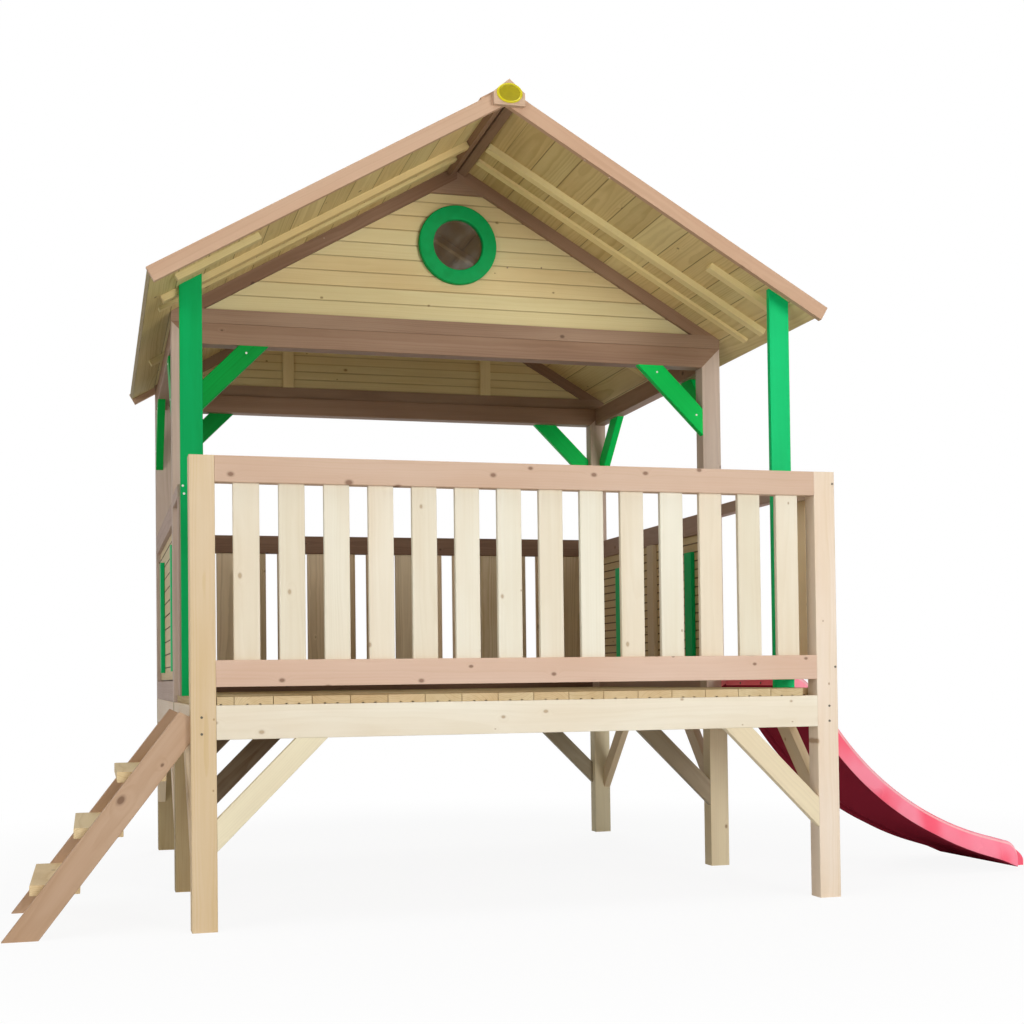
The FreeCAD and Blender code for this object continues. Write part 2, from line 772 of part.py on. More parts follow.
def oval(width, height, y0, y1):
    major = max(width, height) * half_share
    minor = min(width, height) * half_share
    centre = vec(plaque_x, y0, plaque_bottom + badge_above_plaque_foot)
    curve = Part.Ellipse(centre + vec(major, 0, 0), centre + vec(0, 0, minor), centre)
    face = Part.Face(Part.Wire([curve.toShape()]))
    return face.extrude(vec(0, y1 - y0, 0))


badge_front = plaque_front - badge_thickness
badge = oval(badge_width, badge_height, badge_front, plaque_front)
rim = oval(badge_width, badge_height, badge_front - badge_rim_height, badge_front)
rim = rim.cut(oval(badge_width - 2 * badge_rim_width, badge_height - 2 * badge_rim_width,
                   badge_front - badge_rim_height - overrun, badge_front + overrun))
badge = badge.fuse(rim).removeSplitter().Solids[0]

# Ladder
stringer_top = beam_top - stringer_top_drop
top_cut_z = stringer_top - stringer_top_slant_drop
foot_back = stringer_foot_reach - stringer_foot_length
ladder_run = stringer_foot_reach - stringer_top_slant_run
ladder_slope = stringer_top / ladder_run
stringer_points = [(-stringer_foot_reach, 0), (-foot_back, 0),
                   (0, foot_back * ladder_slope), (0, top_cut_z),
                   (-stringer_top_slant_run, stringer_top)]
ladder_stringers = []
for y in [ladder_front, ladder_front + stringer_thickness + ladder_clear_width]:
    stringer = prism_y(stringer_points, y, y + stringer_thickness)
    length = math.hypot(ladder_run, stringer_top)
    along = vec(ladder_run / length, 0, stringer_top / length)
    ladder_stringers.append(softened(stringer, along, timber_edge_radius))
ladder_treads = []
for index in range(tread_count):
    top = tread_first_top + index * tread_pitch
    nose = -stringer_foot_reach + top / ladder_slope - tread_nosing
    ladder_treads.append(stick(nose, nose + tread_depth, ladder_front + stringer_thickness,
                               ladder_front + stringer_thickness + ladder_clear_width,
                               top - tread_thickness, top, ALONG_Y))

# Slide: two side rails with a bed between them, one moulded piece
slide_start = platform_width - slide_start_inset
bend_start = platform_width - slide_bend_inset
rail_top = deck_top + slide_rail_height
steep = math.radians(slide_steep_angle)
flat = math.radians(slide_run_out_angle)
drop = rail_top - slide_end_height
long_bend_radius = ((drop - slide_top_bend_radius * (1 - math.cos(steep))
                     - slide_straight * math.sin(steep) - slide_run_out * math.sin(flat))
                    / (math.cos(flat) - math.cos(steep)))


def slide_path():
    # Points of the rail's top line with the downward slope there and the share travelled
    rows = [(slide_start, rail_top, 0.0, 0.0)]
    steps = 12
    for index in range(steps + 1):
        angle = steep * index / steps
        rows.append((bend_start + slide_top_bend_radius * math.sin(angle),
                     rail_top - slide_top_bend_radius * (1 - math.cos(angle)),
                     angle, 0.35 * index / steps))
    x0 = rows[-1][0] + slide_straight * math.cos(steep)
    z0 = rows[-1][1] - slide_straight * math.sin(steep)
    long_steps = 28
    for index in range(long_steps + 1):
        angle = steep + (flat - steep) * index / long_steps
        rows.append((x0 + long_bend_radius * (math.sin(steep) - math.sin(angle)),
                     z0 - long_bend_radius * (math.cos(angle) - math.cos(steep)),
                     angle, 0.35 + 0.6 * index / long_steps))
    x1 = rows[-1][0] + slide_run_out * math.cos(flat)
    z1 = rows[-1][1] - slide_run_out * math.sin(flat)
    rows.append((x1, z1, flat, 1.0))
    return rows


def offset_line(rows, depths):
    line = []
    for (x, z, angle, share), depth in zip(rows, depths):
        line.append((x - depth * math.sin(angle), z - depth * math.cos(angle)))
    return line


rows = slide_path()
rail_depths = []
for x, z, angle, share in rows:
    if share <= 0.35:
        rail_depths.append(slide_rail_height
                           + (slide_rail_depth - slide_rail_height) * share / 0.35)
    elif share <= 0.8:
        rail_depths.append(slide_rail_depth)
    else:
        rail_depths.append(slide_rail_depth
                           + (slide_end_depth - slide_rail_depth) * (share - 0.8) / 0.2)
top_line = offset_line(rows, [0.0] * len(rows))
low_line = offset_line(rows, rail_depths)
bed_top_depths = []
bed_low_depths = []
for (x, z, angle, share), rail_depth in zip(rows, rail_depths):
    grown = min(share / 0.35, 1.0)
    bed_top_depths.append(slide_bed_start_drop
                          + (slide_bed_drop - slide_bed_start_drop) * grown)
    low_depth = slide_bed_drop + slide_bed_thickness
    low_depth = slide_rail_height + (low_depth - slide_rail_height) * grown
    # Towards the end the bed thickens until its underside is level with the rails
    merged = max(share - 0.8, 0) / 0.2
    bed_low_depths.append(low_depth + (rail_depth - low_depth) * merged)
bed_top_line = offset_line(rows, bed_top_depths)
bed_low_line = offset_line(rows, bed_low_depths)

end_x, end_z = top_line[-1]
lip_steps = 8
lip_line = []
for index in range(1, lip_steps + 1):
    angle = flat + (math.pi * half_share - flat) * index / lip_steps
    lip_line.append((end_x + slide_lip_radius * (math.sin(angle) - math.sin(flat)),
                     end_z - slide_lip_radius * (math.cos(flat) - math.cos(angle))))
tip_x = lip_line[-1][0]


def smooth(points):
    return [vec(x, 0, z) for x, z in points]


def curve_edge(points):
    line = Part.BSplineCurve()
    line.interpolate(smooth(points))
    return line.toShape()


def slide_band(upper, lower, lip, y0, y1):
    # Side outline with smooth upper and lower lines, closed at the ends by straight edges
    tip = (lip[-1][0], slide_foot_height)
    foot = [(tip_x, slide_foot_height)]
    if lip[-1][0] > tip_x:
        foot = [tip] + foot
    flat_start_top = Part.makeLine(smooth(upper[:1])[0], smooth(upper[1:2])[0])
    upper_curve = curve_edge(upper[1:] + lip)
    lower_curve = curve_edge(lower[1:])
    end_edges = Part.makePolygon(smooth(lip[-1:] + foot + lower[-1:])).Edges
    start_edges = Part.makePolygon(smooth([lower[1], lower[0], upper[0]])).Edges
    edges = [flat_start_top, upper_curve] + end_edges + [lower_curve] + start_edges
    wire = Part.Wire(Part.__sortEdges__(edges))
    face = Part.Face(wire)
    face.translate(vec(0, y0, 0))
    return face.extrude(vec(0, y1 - y0, 0))


bed_lip = []
bed_end_x, bed_end_z = bed_top_line[-1]
reach = tip_x + slide_bed_lip_reach - bed_end_x
for index in range(1, lip_steps + 1):
    angle = flat + (math.pi * half_share - flat) * index / lip_steps
    bed_lip.append((bed_end_x + reach * (math.sin(angle) - math.sin(flat)) / (1 - math.sin(flat)),
                    bed_end_z - slide_bed_lip_radius * (math.cos(flat) - math.cos(angle))))
near_rail = slide_band(top_line, low_line, lip_line, slide_front, slide_front + slide_rail_width)


def rounded_tops(rail):
    # Rolls the two long upper edges of a side rail
    picked = []
    for edge in rail.Edges:
        box = edge.BoundBox
        if box.YLength > slide_rail_width * half_share:
            continue
        if box.XLength < slide_rail_width:
            continue
        middle = edge.valueAt((edge.FirstParameter + edge.LastParameter) * half_share)
        probe = Part.Vertex(middle)
        top_edges = [Part.makePolygon([vec(x, middle.y, z) for x, z in top_line])]
        if probe.distToShape(top_edges[0])[0] < slide_edge_radius * half_share:
            picked.append(edge)
    try:
        result = rail.makeFillet(slide_edge_radius, picked)
        if result.isValid() and len(result.Solids) == 1:
            return result.Solids[0]
    except Exception as problem:
        print("slide edges stay square:", problem)
    return rail


near_rail = rounded_tops(near_rail)
far_rail = mirror_y(near_rail, slide_front + slide_width * half_share)
bed = slide_band(bed_top_line, bed_low_line, bed_lip, slide_front + slide_rail_width,
                 slide_front + slide_width - slide_rail_width)
slide = near_rail.fuse(bed).fuse(far_rail).removeSplitter()
slide = slide.Solids[0]
for share in [third_share, 2 * third_share]:
    add_screw("slide", slide_start, slide_front + slide_width * share,
              deck_top + (slide_rail_height - slide_bed_start_drop) * half_share, -1, 0, 0)

# Every node with its solids
parts = {
    "front_posts": drilled("front_posts", front_posts),
    "short_posts": short_posts,
    "cross_beams": cross_beams,
    "side_beams": side_beams,
    "floor_joist": [floor_joist],
    "cross_knee_braces": cross_knee_braces,
    "side_knee_braces": side_knee_braces,
    "deck_boards": deck_boards,
    "railing_top_rail": [railing_top_rail],
    "railing_bottom_rail": [railing_bottom_rail],
    "railing_slats": railing_slats,
    "left_handrail": [left_handrail],
    "left_side_slat": [left_side_slat],
    "right_handrail": [right_handrail],
    "right_side_rails": right_side_rails,
    "right_side_slat": [right_side_slat],
    "left_roof_post": drilled("left_roof_post", [left_roof_post]),
    "right_roof_post": [right_roof_post],
    "house_corner_posts": house_corner_posts,
    "front_portal_rail": [portal_rails[0]],
    "rear_portal_rail": [portal_rails[1]],
    "side_top_rails": side_top_rails,
    "portal_corner_braces": drilled("portal_corner_braces", portal_corner_braces),
    "side_corner_braces": drilled("side_corner_braces", side_corner_braces),
    "wall_sills": both_sides([wall_sill]),
    "wall_bottom_rails": both_sides([wall_bottom_rail]),
    "left_wall_siding": wall_siding,
    "right_wall_siding": [mirror_x(board) for board in wall_siding],
    "wall_battens": [wall_batten] + on_right_wall([wall_batten]),
    "left_wall_green_boards": wall_green_boards,
    "right_wall_green_boards": on_right_wall(wall_green_boards),
    "rear_wall_top_rail": [rear_wall_top_rail],
    "rear_wall_bottom_rail": [rear_wall_bottom_rail],
    "rear_wall_slats": rear_wall_slats,
    "front_gable_rail": [front_gable[0]],
    "front_gable_rafters": front_gable[1],
    "front_gable_apex_block": [front_gable[2]],
    "front_gable_siding": front_siding,
    "rear_gable_rail": [rear_gable[0]],
    "rear_gable_rafters": rear_gable[1],
    "rear_gable_apex_block": [rear_gable[2]],
    "rear_gable_siding": rear_gable[3],
    "gable_battens": front_gable[4] + rear_gable[4],
    "window_ring": [window_ring],
    "window_pane": [window_pane],
    "ridge_battens": ridge_battens,
    "roof_battens": roof_battens,
    "left_roof_boards": left_roof_boards,
    "right_roof_boards": right_roof_boards,
    "front_bargeboards": front_bargeboards,
    "rear_bargeboards": rear_bargeboards,
    "ridge_caps": ridge_caps,
    "apex_plaque": [apex_plaque],
    "badge": [badge],
    "ladder_stringers": ladder_stringers,
    "ladder_treads": ladder_treads,
    "slide": drilled("slide", [slide]),
    "screws": screws,
}

# Move the whole so that its bottom centre is the origin, then write the parts
whole = None
for solids in parts.values():
    for solid in solids:
        box = solid.optimalBoundingBox(False)
        if whole is None:
            whole = box
        else:
            whole.add(box)
shift = vec(-(whole.XMin + whole.XMax) * half_share,
            -(whole.YMin + whole.YMax) * half_share, -whole.ZMin)
os.makedirs("parts", exist_ok=True)
for name, solids in parts.items():
    placed = []
    for solid in solids:
        piece = solid.copy()
        piece.translate(shift)
        placed.append(piece)
    shape = placed[0] if len(placed) == 1 else Part.makeCompound(placed)
    shape.exportStep("parts/" + name + ".step")
print("nodes", len(parts), "solids", sum(len(solids) for solids in parts.values()))
print("shift", shift, "size", whole.XLength, whole.YLength, whole.ZLength)
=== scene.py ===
import math

import bpy
import numpy as np
from mathutils import Matrix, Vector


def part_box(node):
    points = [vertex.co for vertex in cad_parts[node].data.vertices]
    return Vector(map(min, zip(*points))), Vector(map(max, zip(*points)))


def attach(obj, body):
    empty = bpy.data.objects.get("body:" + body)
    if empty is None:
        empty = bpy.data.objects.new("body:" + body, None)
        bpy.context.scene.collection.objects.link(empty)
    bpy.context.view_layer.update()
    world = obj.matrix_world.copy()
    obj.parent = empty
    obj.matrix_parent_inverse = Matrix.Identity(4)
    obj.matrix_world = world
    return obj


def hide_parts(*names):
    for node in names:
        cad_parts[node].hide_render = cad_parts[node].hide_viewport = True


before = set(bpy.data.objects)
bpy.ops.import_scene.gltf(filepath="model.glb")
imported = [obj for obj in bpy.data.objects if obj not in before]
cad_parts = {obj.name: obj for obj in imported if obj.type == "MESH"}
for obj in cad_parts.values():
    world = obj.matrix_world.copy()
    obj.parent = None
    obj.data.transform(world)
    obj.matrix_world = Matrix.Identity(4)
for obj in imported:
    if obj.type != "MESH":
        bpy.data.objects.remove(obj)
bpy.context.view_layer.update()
shuffle = np.random.default_rng(24)

# Places shared by many pieces, in metres from the middle of the base, and the width of boards;
# a triangle with no area belongs to no board

left_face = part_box("front_posts")[0][0]
right_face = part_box("front_posts")[1][0]
front_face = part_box("front_posts")[0][1]
middle = (left_face + right_face) / 2
ridge_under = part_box("front_gable_rafters")[1][2]
slope = math.radians(30.0)
roof_half_width = 1.044
roof_board = roof_half_width / math.cos(slope) / 12
wall_board = 0.0958
gable_board = 0.1012
ladder_lean = math.atan2(0.590, 0.455)
no_board = -99


def tone(red, green, blue):
    """Turns a colour on the usual 0 to 255 scale into the linear light that a shader takes."""
    share = np.array([red, green, blue]) / 255.0
    line = np.where(share > 0.04045, ((share + 0.055) / 1.055) ** 2.4, share / 12.92)
    return tuple(line) + (1.0,)


# Surfaces from arrays


def surface(name, points, faces, material):
    """Makes an object at the origin from points and faces and rides it on the body."""
    mesh = bpy.data.meshes.new(name)
    mesh.from_pydata(np.asarray(points).tolist(), [], faces)
    mesh.shade_smooth()
    mesh.validate()
    mesh.materials.append(material)
    piece = bpy.data.objects.new(name, mesh)
    bpy.context.scene.collection.objects.link(piece)
    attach(piece, "root")
    return piece


def stand_in(piece, node, sharp):
    """Puts the piece in the node's place; edges that turn more than sharp degrees stay sharp."""
    piece.data.set_sharp_from_angle(angle=math.radians(sharp))
    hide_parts(node)


def paint_node(node, material):
    """Leaves the node's own mesh as it is and changes its material."""
    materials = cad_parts[node].data.materials
    materials.clear()
    materials.append(material)


def write_attribute(piece, name, values):
    layer = piece.data.attributes.new(name, "FLOAT_VECTOR", "POINT")
    layer.data.foreach_set("vector", np.asarray(values, np.float32).ravel())


def grid_faces(rows, columns, close_rows=False, close_columns=False):
    """Quads between neighbouring points of a grid, wrapped round where asked."""
    row = np.arange(rows if close_rows else rows - 1)
    column = np.arange(columns if close_columns else columns - 1)
    one, two = np.meshgrid(row, column, indexing="ij")
    after, beside = (one + 1) % rows, (two + 1) % columns
    quads = np.stack([one * columns + two, after * columns + two,
                      after * columns + beside, one * columns + beside], axis=-1)
    return quads.reshape(-1, 4).tolist()


def joined(forms):
    """Points and faces of several forms as those of one."""
    faces, start = [], 0
    for points, own_faces in forms:
        faces += [[corner + start for corner in face] for face in own_faces]
        start += len(points)
    return np.concatenate([points for points, own_faces in forms]), faces


def outward(points, faces):
    """Turns all faces of a closed form round where they enclose a negative volume."""
    points = points - points.mean(axis=0)
    volume = 0.0
    for face in faces:
        corner = points[face]
        for one in range(1, len(face) - 1):
            volume += np.dot(corner[0], np.cross(corner[one], corner[one + 1]))
    return [face[::-1] for face in faces] if volume < 0 else faces


# Materials


class Nodes:
    """A node tree, with short calls for sums, mixes and textures."""

    def __init__(self, tree):
        self.tree = tree

    def add(self, kind, **settings):
        node = self.tree.nodes.new("ShaderNode" + kind)
        for key, value in settings.items():
            setattr(node, key, value)
        return node

    def put(self, socket, value):
        """Links a socket to an output, or gives it a value."""
        if isinstance(value, bpy.types.NodeSocket):
            self.tree.links.new(value, socket)
        else:
            socket.default_value = value

    def fed(self, node, *values):
        """Puts values into the node's first inputs and returns its first output."""
        for socket, value in zip(node.inputs, values):
            self.put(socket, value)
        return node.outputs[0]

    def sum(self, operation, *values):
        return self.fed(self.add("Math", operation=operation), *values)

    def step(self, value, low, high, to_low=0.0, to_high=1.0):
        node = self.add("MapRange", interpolation_type="SMOOTHSTEP")
        return self.fed(node, value, low, high, to_low, to_high)

    def mix(self, share, one, two, blend="MIX"):
        node = self.add("Mix", data_type="RGBA", blend_type=blend)
        for index, value in ((0, share), (6, one), (7, two)):
            self.put(node.inputs[index], value)
        return node.outputs[2]

    def mixed_shaders(self, share, one, two):
        return self.fed(self.add("MixShader"), share, one, two)

    def stretched(self, x, y, z, along, across):
        """A place scaled by one number along the grain and by another across it."""
        return self.fed(self.add("CombineXYZ"), self.sum("MULTIPLY", x, along),
                        self.sum("MULTIPLY", y, across), self.sum("MULTIPLY", z, across))

    def parts(self, vector):
        node = self.add("SeparateXYZ")
        self.put(node.inputs[0], vector)
        return list(node.outputs)

    def spot(self):
        return self.add("TexCoord").outputs["Object"]

    def attribute(self, name):
        return self.add("Attribute", attribute_name=name).outputs["Vector"]

    def noise(self, vector, scale=1.0, detail=2.0, rough=0.5):
        node = self.add("TexNoise")
        for name, value in (("Vector", vector), ("Scale", scale), ("Detail", detail),
                            ("Roughness", rough)):
            self.put(node.inputs[name], value)
        return node.outputs["Fac"]

    def direct_rays(self):
        """1 for rays from the camera, off gloss and through the pane, 0 for the lamps' light."""
        path = self.add("LightPath").outputs
        return self.sum("MAXIMUM", path["Is Camera Ray"],
                        self.sum("MAXIMUM", path["Is Glossy Ray"], path["Is Transmission Ray"]))


class Shader(Nodes):
    """A material's nodes round its principled shader, the skin."""

    def __init__(self, name):
        self.material = bpy.data.materials.new(name)
        self.material.use_nodes = True
        super().__init__(self.material.node_tree)
        self.skin = self.tree.nodes["Principled BSDF"]

    def give(self, name, value):
        self.put(self.skin.inputs[name], value)

    def bump(self, height, strength, distance):
        node = self.add("Bump")
        for name, value in (("Strength", strength), ("Distance", distance), ("Height", height)):
            self.put(node.inputs[name], value)
        self.give("Normal", node.outputs[0])

    def show(self, output):
        """Makes another shader than the skin the one that is seen."""
        self.put(self.tree.nodes["Material Output"].inputs["Surface"], output)


def siding_levels(low_node, high_node, pitch, axis):
    """Start and pitch of the boards, and the middle and half distance of two facing walls."""
    low, high = (np.array(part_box(node)).mean(axis=0)[axis] for node in (low_node, high_node))
    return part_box(low_node)[0][2], pitch, axis, (low + high) / 2, (high - low) / 2


def groove_lines(s, start, pitch, axis, core_place, core_reach):
    """Dark grooves that part the outer face of each board in two and its inner face in three."""
    groove_width, soft_edge = 0.0052, 0.001
    spot = s.parts(s.spot())
    off = s.sum("ABSOLUTE", s.sum("SUBTRACT", spot[axis], core_place))
    outside = s.sum("GREATER_THAN", off, core_reach)
    part = s.sum("DIVIDE", pitch, s.sum("SUBTRACT", 3.0, outside))
    above = s.sum("FRACT", s.sum("DIVIDE", s.sum("SUBTRACT", spot[2], start), part))
    return s.step(s.sum("MULTIPLY", above, part), groove_width, groove_width - soft_edge)


def wood(name, light, dark, knot=tone(122, 84, 52), knots=0.3, knot_size=0.5, rings=0.3,
         spread=0.3, calm=1.0, rough=0.6, shine=0.22, blush=tone(254, 243, 236), joint=0.0,
         levels=None):
    """Planed wood: faint yearly rings round a heart line, fine fibres, soft streaks and small
    knots. knots is the share of cells that hold one, rings the strength of the rings, spread how
    far the boards differ, in random tone and, for some nodes, in painted shade, and calm, where it
    is below 1, softens the streaks. joint darkens the long edges where two boards meet, or the
    grooves at the given levels."""
    s = Shader(name)
    grain = s.parts(s.attribute("grain"))
    board, warmth = s.parts(s.attribute("board"))[:2]

    def pattern(along, across, detail=2.0, roughness=0.5):
        return s.noise(s.stretched(*grain, along, across), 1.0, detail, roughness)

    def swing(part, amount):
        """A pattern from 0 to 1 made to swing about 0 by half the amount."""
        return s.sum("MULTIPLY", s.sum("SUBTRACT", part, 0.5), amount)

    sway, wave, cloud = pattern(1.1, 5.0), pattern(9.0, 26.0), pattern(2.2, 9.0)
    fibre, streak = pattern(11.0, 520.0, 3.0, 0.6), pattern(1.4, 60.0, 3.0, 0.55)

    # Knots run through the board; only some of the cells hold one, each of its own size
    cells = s.add("TexVoronoi", voronoi_dimensions="2D")
    s.put(cells.inputs["Vector"], s.stretched(*grain, 5.2, 7.5))
    s.put(cells.inputs["Scale"], 1.0)
    chance = s.parts(cells.outputs["Color"])
    far = s.sum("DIVIDE", s.sum("ADD", cells.outputs["Distance"], swing(wave, 0.03)),
                s.sum("ADD", 0.4 * knot_size, s.sum("MULTIPLY", chance[1], 0.8 * knot_size)))
    chosen = s.sum("GREATER_THAN", chance[0], 1.0 - knots)
    core, rim, swirl = (s.sum("MULTIPLY", s.step(far, edge, inside), chosen)
                        for edge, inside in ((0.09, 0.05), (0.14, 0.06), (0.4, 0.0)))

    # Rings lie round the heart line and bend round the knots; each has its own strength
    ring_width = 0.0055
    away = s.sum("SQRT", s.sum("ADD", s.sum("MULTIPLY", grain[1], grain[1]),
                               s.sum("MULTIPLY", grain[2], grain[2])))
    away = s.sum("ADD", s.sum("ADD", away, swing(sway, 0.034)), swing(wave, 0.005))
    away = s.sum("SUBTRACT", away, s.sum("MULTIPLY", swirl, 0.008))
    ring = s.sum("DIVIDE", away, ring_width)
    phase = s.sum("FRACT", ring)
    strength = s.add("TexWhiteNoise", noise_dimensions="1D")
    s.put(strength.inputs["W"], s.sum("FLOOR", ring))
    late = s.sum("MULTIPLY", s.sum("MULTIPLY", s.step(phase, 0.2, 0.85),
                                   s.step(phase, 1.0, 0.88)),
                 s.sum("ADD", 0.3, strength.outputs["Value"]))

    depth = s.sum("ADD", 0.42, s.sum("MULTIPLY", late, rings))
    for part, amount in ((streak, 0.45 * calm), (fibre, 0.15 * calm), (cloud, 0.7 * calm),
                         (board, spread)):
        depth = s.sum("ADD", depth, swing(part, amount))
    colour = s.mix(s.fed(s.add("Clamp"), depth), light, dark)
    blushed = s.sum("MULTIPLY", s.sum("ADD", warmth, s.sum("SUBTRACT", cloud, 0.5)), 0.8)
    colour = s.mix(blushed, colour, blush, "MULTIPLY")
    knotty = s.sum("ADD", s.sum("MULTIPLY", rim, 0.4), s.sum("MULTIPLY", core, 0.35))
    colour = s.mix(knotty, colour, knot)
    if joint:
        seams = (groove_lines(s, *levels) if levels
                 else s.step(s.sum("ABSOLUTE", s.parts(s.attribute("unit"))[1]), 0.95, 0.99))
        colour = s.mix(s.sum("MULTIPLY", seams, joint), colour, knot)

    s.give("Base Color", colour)
    s.give("Roughness", s.sum("ADD", rough, swing(fibre, 0.2)))
    s.give("Specular IOR Level", shine)
    height = s.sum("ADD", s.sum("MULTIPLY", fibre, 0.6), s.sum("MULTIPLY", late, 0.3))
    s.bump(s.sum("SUBTRACT", height, s.sum("MULTIPLY", rim, 0.5)), 0.4, 0.0006)
    return s.material


wall_levels = siding_levels("left_wall_siding", "right_wall_siding", wall_board, 0)
gable_levels = siding_levels("front_gable_siding", "rear_gable_siding", gable_board, 1)
pale = wood("pale_softwood", tone(236, 231, 214), tone(216, 206, 179), tone(172, 146, 112),
            knots=0.6, knot_size=0.4, rings=0.1)
natural = wood("oiled_softwood", tone(234, 220, 204), tone(207, 183, 136), tone(160, 124, 88),
               rings=0.12, spread=0.6, knots=0.35, knot_size=0.4, calm=0.7)
# A darker copy of the oiled softwood, whose dark colour is painted shade for the left short posts
painted_shade_softwood = wood("softwood_with_painted_shade", tone(236, 226, 192), tone(160, 136, 92), tone(140, 106, 72),
              rings=0.05, spread=0.9, knots=0.35, knot_size=0.4, calm=0.3)
# Painted light: a brighter softwood for the right side slat, whose face is otherwise in shade
painted_light_softwood = wood("softwood_with_painted_light", tone(255, 238, 206), tone(246, 222, 180), rings=0.12)
# The knee braces' very dark colour is there for their painted shade under the deck
brace = wood("knee_brace_softwood", tone(236, 227, 196), tone(80, 52, 20), rings=0.04, spread=0.9,
             calm=0.25)
deck = wood("deck_board_softwood", tone(222, 204, 166), tone(190, 166, 124), knots=0.2, spread=0.5,
            shine=0.0)
decking = wood("deck_softwood", tone(234, 215, 174), tone(208, 184, 136), knots=0.2)
rosy = wood("pinkish_stain", tone(220, 197, 180), tone(200, 171, 147), tone(112, 76, 54),
            rings=0.12, knots=0.9, knot_size=0.6)
pinkish_tan = wood("pinkish_tan_stain", tone(212, 188, 168), tone(192, 162, 136),
                   tone(112, 76, 54), rings=0.12, knots=0.9, knot_size=0.6)
tan = wood("tan_stain", tone(208, 178, 151), tone(184, 152, 125), rings=0.14, knots=0.2)
mauve = wood("brownish_pink_stain", tone(186, 161, 145), tone(158, 134, 118), rings=0.25,
             knots=0.2)
stringer = wood("rosy_brown_stain", tone(204, 174, 149), tone(172, 140, 108), tone(100, 68, 48),
                knots=0.7, knot_size=0.7, rings=0.2)
brown = wood("brown_stain", tone(172, 144, 120), tone(126, 98, 76), tone(74, 52, 38), rings=0.14,
             knots=0.12, rough=0.55)
greyish = wood("greyish_post_stain", tone(212, 194, 178), tone(178, 158, 142), tone(120, 92, 74),
               rings=0.2)
golden = wood("golden_siding", tone(230, 217, 168), tone(210, 193, 140), tone(134, 104, 64),
              knots=0.3, knot_size=0.4, rings=0.14, spread=0.2, joint=0.3, levels=gable_levels)
gilt = wood("golden_batten", tone(236, 222, 174), tone(216, 198, 146), rings=0.14)
walling = wood("wall_siding", tone(226, 208, 164), tone(200, 178, 132), tone(92, 66, 44),
               knots=0.3, rings=0.14, spread=0.3, joint=0.9, levels=wall_levels)
# The brown stain made darker with painted shade, for the rear wall rails inside the house
painted_shade_brown = wood("brown_stain_with_painted_shade", tone(136, 106, 84), tone(98, 72, 54), tone(60, 42, 32), rings=0.2)
khaki = wood("olive_softwood", tone(236, 218, 188), tone(178, 154, 116), tone(120, 90, 58),
             spread=0.7)
olive = wood("olive_roofing", tone(230, 214, 156), tone(192, 172, 116), tone(104, 84, 50),
             knots=0.2, spread=0.7, joint=0.7)
lath = wood("light_olive_batten", tone(244, 232, 174), tone(208, 190, 136), knots=0.1, rings=0.1,
            spread=0.9, calm=0.5)
green = wood("green_paint", tone(14, 204, 120), tone(0, 160, 82), tone(0, 140, 70), knots=0.0,
             rings=0.04, spread=0.8, rough=0.5, blush=tone(240, 250, 244), shine=0.1, calm=0.6)
# The green paint of the corner braces; its dark colour is painted shade for the left braces
painted_shade_green = wood("green_paint_with_painted_shade", tone(0, 222, 96), tone(0, 124, 42), tone(0, 120, 50), knots=0.0,
             rings=0.04, spread=0.8, rough=0.5, blush=tone(240, 250, 244), shine=0.1, calm=0.4)

# Timber pieces: each takes the faces of its own CAD node, parted into boards, and gets a grain


def node_triangles(name):
    """The corners of a node's triangles as an array of triangles by 3 corners by 3 places."""
    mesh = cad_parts[name].data
    places = np.empty(len(mesh.vertices) * 3, np.float32)
    mesh.vertices.foreach_get("co", places)
    mesh.calc_loop_triangles()
    corners = np.empty(len(mesh.loop_triangles) * 3, np.int32)
    mesh.loop_triangles.foreach_get("vertices", corners)
    return places.reshape(-1, 3)[corners].reshape(-1, 3, 3).astype(float)


def welded(triangles):
    """Corners closer than a fiftieth of a millimetre become one point; empty triangles go."""
    flat = triangles.reshape(-1, 3)
    _, first, index = np.unique(np.round(flat * 5e4).astype(np.int64), axis=0,
                                return_index=True, return_inverse=True)
    faces = index.reshape(-1, 3)
    real = ((faces[:, 0] != faces[:, 1]) & (faces[:, 1] != faces[:, 2])
            & (faces[:, 0] != faces[:, 2]))
    return flat[first], faces[real], real


def connected(faces, count):
    """A label per point: the lowest point number that it is joined to, spread until it rests."""
    label = np.arange(count)
    while True:
        lowest = label[faces].min(axis=1)
        new = label.copy()
        np.minimum.at(new, faces.ravel(), np.repeat(lowest, 3))
        new = new[new]
        if (new == label).all():
            return label
        label = new


def inner_middles(triangles):
    """Middles of the triangles, moved a tenth of a millimetre into the wood."""
    out = np.cross(triangles[:, 1] - triangles[:, 0], triangles[:, 2] - triangles[:, 0])
    size = np.linalg.norm(out, axis=1, keepdims=True)
    return triangles.mean(axis=1) - out / np.maximum(size, 1e-12) * 1e-4


def split_loose(triangles):
    """Boards that hang together by their corners."""
    points, faces, real = welded(triangles)
    ids = np.full(len(triangles), no_board)
    ids[real] = connected(faces, len(points))[faces[:, 0]]
    return ids


def split_sides(triangles):
    """Boards on the left and on the right."""
    return (inner_middles(triangles)[:, 0] > middle).astype(int)


def split_levels(start, pitch):
    """Boards stacked upwards, each one pitch high."""
    def split(triangles):
        return np.floor((inner_middles(triangles)[:, 2] - start) / pitch).astype(int)
    return split


def split_roof(triangles):
    """Boards numbered by their distance from the ridge along the slope."""
    inner = inner_middles(triangles)
    along = (np.abs(inner[:, 0] - middle) * math.cos(slope)
             + (ridge_under - inner[:, 2]) * math.sin(slope))
    return np.floor(along / roof_board).astype(int)


